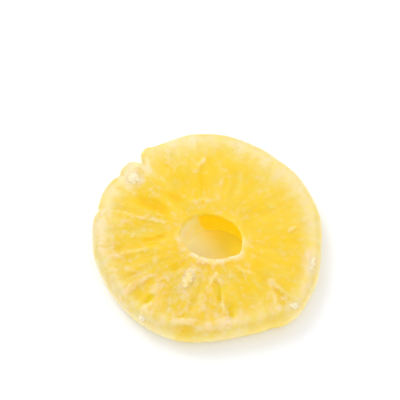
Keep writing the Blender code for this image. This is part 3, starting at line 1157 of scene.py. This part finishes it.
def flesh_tone(tree, way, crust, loose, cover):
    """One number for each point: 0 is deep yellow flesh, 1 is cream."""
    tone = maths(tree, "MULTIPLY_ADD", attribute(tree, "rim"), RIM_TONE, FLESH_TONE)
    broad = maths(tree, "MULTIPLY", streaked(tree, way, 34.0, 12.0), loose)
    tone = maths(tree, "MULTIPLY_ADD", broad, BROAD_TONE, tone)
    fine = maths(tree, "MULTIPLY", streaked(tree, way, 90.0, 8.0), FINE_TONE)
    fine = maths(tree, "MULTIPLY", fine, loose)
    flecks = maths(tree, "SUBTRACT", cover, 0.5)
    detail = maths(tree, "MULTIPLY_ADD", flecks, FLECK_TONE, fine)
    tone = maths(tree, "MULTIPLY_ADD", detail, maths(tree, "ADD", crust, CALM_SHARE), tone)
    for name, share in TONES:
        tone = maths(tree, "MULTIPLY_ADD", attribute(tree, name), share, tone)
    return maths(tree, "MULTIPLY_ADD", attribute(tree, "far_wall"), FAR_WALL_TONE, tone, clamp=True)


def inner_glow(tree):
    """The light that the flesh passes on: on the hole's wall, and faintly in furrows and at the side."""
    depth = attribute(tree, "depth")
    near = colour_mix(tree, depth, WALL_TOP_LIGHT, WALL_FOOT_LIGHT)
    far = colour_mix(tree, depth, FAR_TOP_LIGHT, FAR_FOOT_LIGHT)
    wall = colour_mix(tree, attribute(tree, "far_wall"), near, far)
    side = colour_mix(tree, attribute(tree, "side"), NO_LIGHT, SIDE_LIGHT)
    glow = colour_mix(tree, attribute(tree, "slot"), side, SLOT_LIGHT)
    return colour_mix(tree, attribute(tree, "wall"), glow, wall)


def candied_material():
    """Moist yellow flesh that passes light on, with frost and crusts of sugar."""
    material = bpy.data.materials.new("candied flesh")
    material.use_nodes = True
    tree = material.node_tree
    surface = tree.nodes["Principled BSDF"]
    way = attribute(tree, "fibre_way", "Vector")
    crust = attribute(tree, "crust")
    loose = attribute(tree, "loose")
    sugar = placed(tree, frost, Way=way, Amount=crust, Loose=loose)
    tone = flesh_tone(tree, way, crust, loose, sugar["Cover"])
    bare = maths(tree, "SUBTRACT", 1.0, attribute(tree, "wall"), clamp=True)
    dust = maths(tree, "MULTIPLY", sugar["Frost"], bare)
    ramp = node(tree, "ValToRGB")
    stops = ramp.color_ramp.elements
    while len(stops) < len(FLESH_COLOURS):
        stops.new(0.5)
    for stop, (place, colour) in zip(stops, FLESH_COLOURS):
        stop.position = place
        stop.color = (*colour, 1)
    tree.links.new(tone, ramp.inputs["Fac"])
    flesh = colour_mix(tree, attribute(tree, "slot"), ramp.outputs["Color"], SLOT_COLOUR)
    shaded = node(tree, "VectorMath", operation="SCALE")
    tree.links.new(flesh, shaded.inputs[0])
    tree.links.new(maths(tree, "SUBTRACT", 1.0, attribute(tree, "shade")), shaded.inputs["Scale"])
    dusting = maths(tree, "MULTIPLY", dust, FROST_SHARE)
    dusted = colour_mix(tree, dusting, shaded.outputs["Vector"], FROST_COLOUR)
    flecked = between(tree, sugar["Cover"], 0.35, 0.6, 0.35, 1.0)
    ringed = maths(tree, "MULTIPLY", attribute(tree, "collar"), flecked)
    tree.links.new(colour_mix(tree, ringed, dusted, CRUST_COLOUR), surface.inputs["Base Color"])
    tree.links.new(inner_glow(tree), surface.inputs["Emission Color"])
    surface.inputs["Emission Strength"].default_value = 1.0
    tree.links.new(between(tree, dust, 0.0, 1.0, 0.42, 0.72), surface.inputs["Roughness"])
    bump = node(tree, "Bump")
    bump.inputs["Strength"].default_value = BUMP_STRENGTH
    bump.inputs["Distance"].default_value = BUMP_HEIGHT
    fine = placed(tree, streaks, Way=way, Waves_Round=240.0, Length=6.0)["Streak"]
    tree.links.new(maths(tree, "MULTIPLY_ADD", dust, 0.6, fine), bump.inputs["Height"])
    tree.links.new(bump.outputs["Normal"], surface.inputs["Normal"])
    tree.links.new(maths(tree, "MULTIPLY", bare, 0.2), surface.inputs["Specular IOR Level"])
    surface.inputs["Subsurface Weight"].default_value = 1.0
    surface.inputs["Subsurface Radius"].default_value = LIGHT_DEPTH
    surface.inputs["Subsurface Scale"].default_value = LIGHT_DEPTH_SCALE
    return material


candied_slice.data.materials.append(candied_material())

# %% [markdown]
# ## The look of sugar
# A clump is white on top and takes a little yellow from the fruit under it. Grains are clearer still, so
# they show more of it. A faint light of their own stands for the light that passes through both.

# %% Materials of the sugar
# Each kind: its pale and its warm colour, the light that leaves it, and its roughness
CLUMPED = ((0.81, 0.735, 0.53, 1), (0.80, 0.62, 0.23, 1), (0.09, 0.08, 0.04, 1), 0.6)
SINGLE = ((0.66, 0.53, 0.19, 1), (0.66, 0.48, 0.08, 1), (0.26, 0.20, 0.05, 1), 0.4)


def sugar_material(name, pale, warm, light, roughness):
    """Sugar that is pale where it is heaped, and patchy all over."""
    material = bpy.data.materials.new(name)
    material.use_nodes = True
    tree = material.node_tree
    surface = tree.nodes["Principled BSDF"]
    place = node(tree, "VectorMath", operation="SCALE")
    place.inputs["Scale"].default_value = 1 / MM
    tree.links.new(node(tree, "TexCoord").outputs["Object"], place.inputs[0])
    patch = noise_mask(tree, place.outputs["Vector"], 0.9, 2.0)
    patch = between(tree, patch, 0.35, 0.65, -0.15, 0.15)
    amount = maths(tree, "ADD", attribute(tree, "paleness"), patch, clamp=True)
    tree.links.new(colour_mix(tree, amount, warm, pale), surface.inputs["Base Color"])
    surface.inputs["Emission Color"].default_value = light
    surface.inputs["Emission Strength"].default_value = 1.0
    surface.inputs["Roughness"].default_value = roughness
    surface.inputs["Specular IOR Level"].default_value = 0.2
    return material


sugar_clumps.data.materials.append(sugar_material("clumped sugar", *CLUMPED))
sugar_grains.data.materials.append(sugar_material("single grains", *SINGLE))

# %% [markdown]
# ## Hand over
# All three pieces stand for the one solid slice. They are on its only body, so they move with it.

# %% Ride and finish
for piece in (candied_slice, sugar_clumps, sugar_grains):
    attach(piece, "root")
    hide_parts(NODE)
